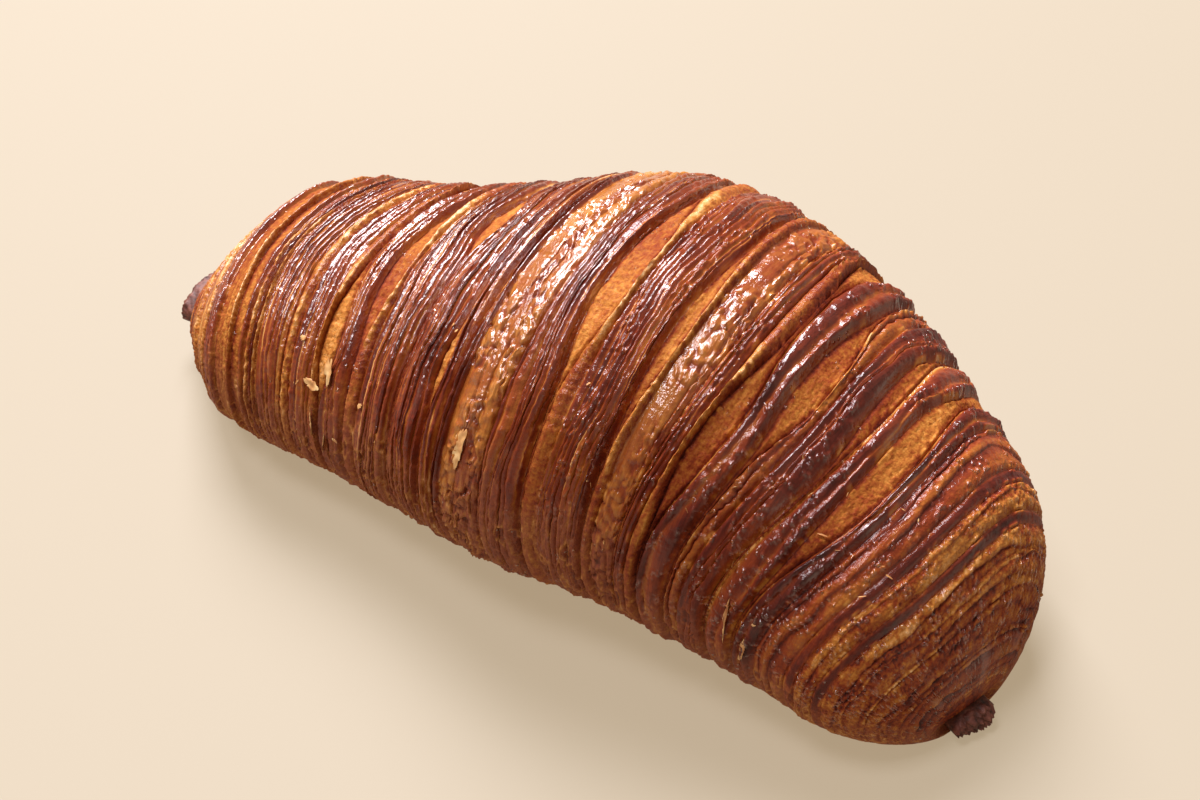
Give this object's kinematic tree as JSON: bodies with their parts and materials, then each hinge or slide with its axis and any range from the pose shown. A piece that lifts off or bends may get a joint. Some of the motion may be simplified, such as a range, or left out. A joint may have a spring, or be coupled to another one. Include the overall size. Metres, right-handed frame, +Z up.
{
  "type": "pain suisse",
  "caption": "Plump, slightly bent laminated pastry with glazed ridged crust and a strip of chocolate filling showing at both tips; rests on its flat base.",
  "frame": {"origin": "on the resting plane, below the middle of the bounding box", "axes": "+X along the pastry from the narrow tip to the drooping tip, +Y away from the side that bows in, +Z up"},
  "size_m": [0.1522, 0.0725, 0.0524],
  "materials": {
    "glazed_crust": "baked, egg-washed and glazed flaky crust, dark on the ridges and amber between them",
    "chocolate": "baked chocolate filling, dull and crumbly"
  },
  "bodies": {
    "root": {"laminated_pastry": "glazed_crust", "chocolate_filling": "chocolate"}
  },
  "joints": []
}
